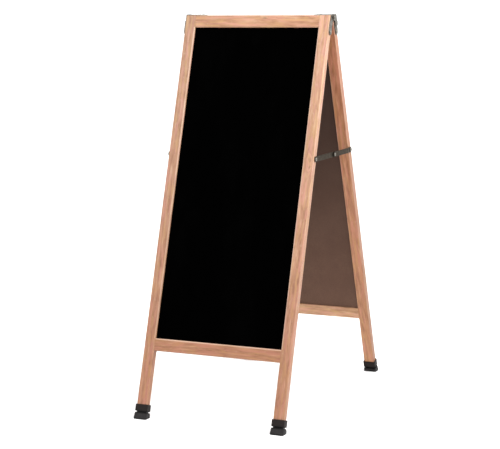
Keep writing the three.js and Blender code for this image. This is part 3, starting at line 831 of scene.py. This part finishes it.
def link_piece(node, screw_y, stepped, end):
    """A flat stay link from its screw to the middle rivet; the rear one steps out over the front one."""
    low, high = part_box(node)
    radius = (high.z - low.z) / 2
    height = (low.z + high.z) / 2
    x = mirrored(end, LINK_GAP, LINK_GAP + LINK_T)
    bm = ease_edges(plate_mesh(link_outline(screw_y, height, radius), *x), LINK_EASE)
    if stepped:
        base = half_width + LINK_GAP
        reach = max(abs(low.x), abs(high.x)) - base - LINK_T
        first, last = abs(screw_y) - JOGGLE[0], abs(screw_y) - JOGGLE[1]
        side = 1 if screw_y > 0 else -1
        for i in range(13):
            spot = Vector((0, side * (first + (last - first) * i / 12), 0))
            geometry = bm.verts[:] + bm.edges[:] + bm.faces[:]
            bmesh.ops.bisect_plane(bm, geom=geometry, plane_co=spot, plane_no=Vector((0, 1, 0)))
        for vert in bm.verts:
            t = min(1.0, max(0.0, (first - side * vert.co.y) / (first - last)))
            vert.co.x += end * reach * t * t * (3 - 2 * t)
    bar = make_object(node + "_bar", bm)
    hand, _, face, _ = node.split("_")
    drill(bar, f"{face}_{hand}_stay_screw", IDENTITY, 0, LINK_HOLE)
    return bar


# ---- Build ---------------------------------------------------------------------------------------
half_width = local_box("rear_right_stile", REAR)[1].x

# Each bar's seed for its unevenness, how it was sawn from the log, its tints, which also paint shade on its
# lower parts and a paler, lit look on its upper ones, the share of them left on its outer side as painted
# shade, and the strength of the painted highlight on its quarter round (see oak_material).
OAK_BARS = {
    "front_left_stile": (1.0, (12, 0.055, 0.012, 1.3), ((0.82, 0.75, 0.75), (0.98, 1.12, 1.32)), 1.0, 0.20),
    "front_right_stile": (2.0, (-8, 0.042, 0.010, 4.7), ((0.84, 0.78, 0.78), (1.12, 1.28, 1.52)), 1.0, 0.30),
    "front_top_rail": (3.0, (10, 0.036, 0.016, 7.9), ((0.90, 0.90, 0.90), (1.05, 1.12, 1.18)), 1.0, 0.0),
    "front_bottom_rail": (4.0, (-14, 0.05, 0.008, 11.2), ((0.77, 0.67, 0.61), (0.90, 0.90, 0.90)), 1.0, 0.36),
    "rear_left_stile": (5.0, (40, 0.060, 0.010, 14.6), ((0.82, 0.76, 0.74), (0.99, 1.06, 1.14)), 0.70, 0.35),
    "rear_right_stile": (6.0, (-20, 0.047, 0.014, 18.1), ((1.02, 0.98, 0.93), (1.13, 0.99, 0.95)), 0.70, 0.5),
    "rear_top_rail": (7.0, (25, 0.058, 0.012, 21.4), ((0.90, 0.90, 0.90), (1.00, 1.06, 1.12)), 1.0, 0.1),
    "rear_bottom_rail": (8.0, (8, 0.045, 0.010, 25.3), ((1.20, 1.36, 1.40), (1.20, 1.36, 1.40)), 1.0, 0.65),
}
PIN_KNOTS = {  # the places are in the frame's axes
    "front_right_stile": (
        (Vector((-0.2177, 0.0212, -0.4264)), 3.2 * MM),
        (Vector((-0.2182, 0.0212, -0.4437)), 2.8 * MM),
    ),
    "front_top_rail": ((Vector((-0.0261, 0.0212, -0.008)), 4.0 * MM),),
}
WRITING = writing_material()
HARDBOARD = hardboard_material()
RUBBER = {
    face: rubber_material("rubber_" + face, axes, local_box(face + "_right_foot", axes)[1].z)
    for face, axes in (("front", FRONT), ("rear", REAR))
}
HINGE_STEEL = steel_material(
    "hinge_steel", rgb(0.20, 0.185, 0.160), rgb(0.11, 0.098, 0.083), rgb(0.055, 0.044, 0.033),
    roughness=0.42, brushed=(900, 900, 60))
STAY_STEEL = steel_material(
    "stay_steel", rgb(0.048, 0.044, 0.036), rgb(0.029, 0.026, 0.021), rgb(0.015, 0.013, 0.010),
    roughness=0.46, brushed=(900, 60, 900), edge=rgb(0.72, 0.66, 0.62))
PIN_STEEL = steel_material(
    "pin_steel", rgb(0.21, 0.20, 0.175), rgb(0.145, 0.135, 0.115), rgb(0.08, 0.07, 0.058),
    roughness=0.40, brushed=(500, 500, 500))
SCREW_STEEL = steel_material(
    "screw_steel", rgb(0.30, 0.275, 0.235), rgb(0.21, 0.19, 0.165), rgb(0.11, 0.095, 0.078),
    roughness=0.38, brushed=(500, 500, 500))

build_frame("front", FRONT)
build_frame("rear", REAR)

wood_screw = screw_mesh(4.5 * MM, 2.2 * MM, 1.9 * MM, 14 * MM, True)
stay_screw = screw_mesh(5.0 * MM, 2.6 * MM, 2.4 * MM, 14 * MM, True)
hinge_rivet = screw_mesh(5.6 * MM, 2.8 * MM, 2.9 * MM, 5.5 * MM, False)
stay_rivet = screw_mesh(5.0 * MM, 2.6 * MM, 2.2 * MM, 2.6 * MM, False)

for face, axes in (("front", FRONT), ("rear", REAR)):
    body = face + "_frame"
    for hand in ("left", "right"):
        stile = f"{face}_{hand}_stile"
        end = 1 if local_box(stile, axes)[0].x > 0 else -1
        outward = Vector((end, 0, 0))
        foot = f"{face}_{hand}_foot"
        finish_piece(foot_piece(foot, stile, axes), body, RUBBER[face], "rubber", foot, smooth_angle=50)
        leaf = f"{face}_{hand}_hinge_leaf"
        finish_piece(hinge_leaf(leaf, stile, axes, face == "rear"), body, HINGE_STEEL, "hinge_steel", leaf)
        turn = 37 * (1 + end) + (11 if face == "front" else 0)
        for part, towards, mesh, more in (
            ("hinge_side_screw", outward, wood_screw, 0),
            ("hinge_top_screw", Vector((0, 0, 1)), wood_screw, 25),
            ("stay_screw", outward, stay_screw, 60),
        ):
            screw = f"{face}_{hand}_{part}"
            fastener(screw, axes, towards, mesh, body, SCREW_STEEL, "screw_steel", turn + more)
        if face == "front":
            fastener(f"{hand}_hinge_pin", axes, outward, hinge_rivet, body, PIN_STEEL, "hinge_steel", 0)

for hand, end in (("left", -1), ("right", 1)):
    for face in ("front", "rear"):
        node = f"{hand}_stay_{face}_link"
        low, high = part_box(node)
        radius = (high.z - low.z) / 2
        screw_y = low.y + radius if face == "front" else high.y - radius
        piece = link_piece(node, screw_y, face == "rear", end)
        finish_piece(piece, f"{hand}_stay_{face}", STAY_STEEL, "stay_steel", node)
    rivet, rear_link = f"{hand}_stay_rivet", f"{hand}_stay_rear"
    fastener(rivet, IDENTITY, Vector((end, 0, 0)), stay_rivet, rear_link, PIN_STEEL, "screw_steel", 0)

# ---- Studio --------------------------------------------------------------------------------------
scene = bpy.context.scene
scene.view_settings.view_transform = "Standard"
scene.view_settings.look = "None"


def studio():
    floor = make_object("studio_floor", box_mesh(Vector((-9, -9, -0.02)), Vector((9, 9, 0))))
    floor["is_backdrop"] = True
    s = Shader("floor", Roughness=0.9, Specular_IOR_Level=0.1)
    mottle = s.noise(s.place(), 3.0, 2.0)
    s.connect(Base_Color=s.mix(mottle, rgb(0.965, 0.965, 0.965), rgb(0.985, 0.985, 0.985)))
    floor.data.materials.append(s.material)

    world = bpy.data.worlds.new("studio")
    world.use_nodes = True
    world.node_tree.nodes["Background"].inputs["Color"].default_value = rgb(1.0, 1.0, 1.0)
    world.node_tree.nodes["Background"].inputs["Strength"].default_value = 1.5
    scene.world = world

    # Each light: the height it is aimed at, its direction in degrees, its distance, its width, its watts.
    for name, aim, azimuth, rise, away, size, power in (
        ("key", 1.0, 76, 38, 1.55, 0.9, 24),
        ("fill", 0.7, -35, 30, 3.2, 1.8, 3),
    ):
        light = bpy.data.lights.new(name, "AREA")
        light.shape = "DISK"
        light.size = size
        light.energy = power
        lamp = bpy.data.objects.new(name, light)
        scene.collection.objects.link(lamp)
        a, e = math.radians(azimuth), math.radians(rise)
        towards = Vector((math.sin(a) * math.cos(e), -math.cos(a) * math.cos(e), math.sin(e)))
        lamp.location = Vector((0, 0, aim)) + towards * away
        lamp.rotation_mode = "QUATERNION"
        lamp.rotation_quaternion = towards.to_track_quat("Z", "Y")
        lamp.visible_camera = False


def camera():
    look = Vector((
        -math.sin(CAMERA_YAW) * math.cos(CAMERA_RISE),
        math.cos(CAMERA_YAW) * math.cos(CAMERA_RISE),
        -math.sin(CAMERA_RISE),
    ))
    level = look.cross(Vector((0, 0, 1))).normalized()
    upright = level.cross(look)
    right = math.cos(CAMERA_ROLL) * level + math.sin(CAMERA_ROLL) * upright
    up = math.cos(CAMERA_ROLL) * upright - math.sin(CAMERA_ROLL) * level
    data = bpy.data.cameras.new("camera")
    data.lens = CAMERA_LENS
    data.sensor_width = 36
    lens = bpy.data.objects.new("camera", data)
    scene.collection.objects.link(lens)
    at = CAMERA_AIM - look * CAMERA_DISTANCE + right * CAMERA_SLIDE[0] + up * CAMERA_SLIDE[1]
    turn = Matrix((right, up, -look)).transposed().to_4x4()
    lens.matrix_world = Matrix.Translation(at) @ turn
    scene.camera = lens


studio()
camera()

low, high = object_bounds()
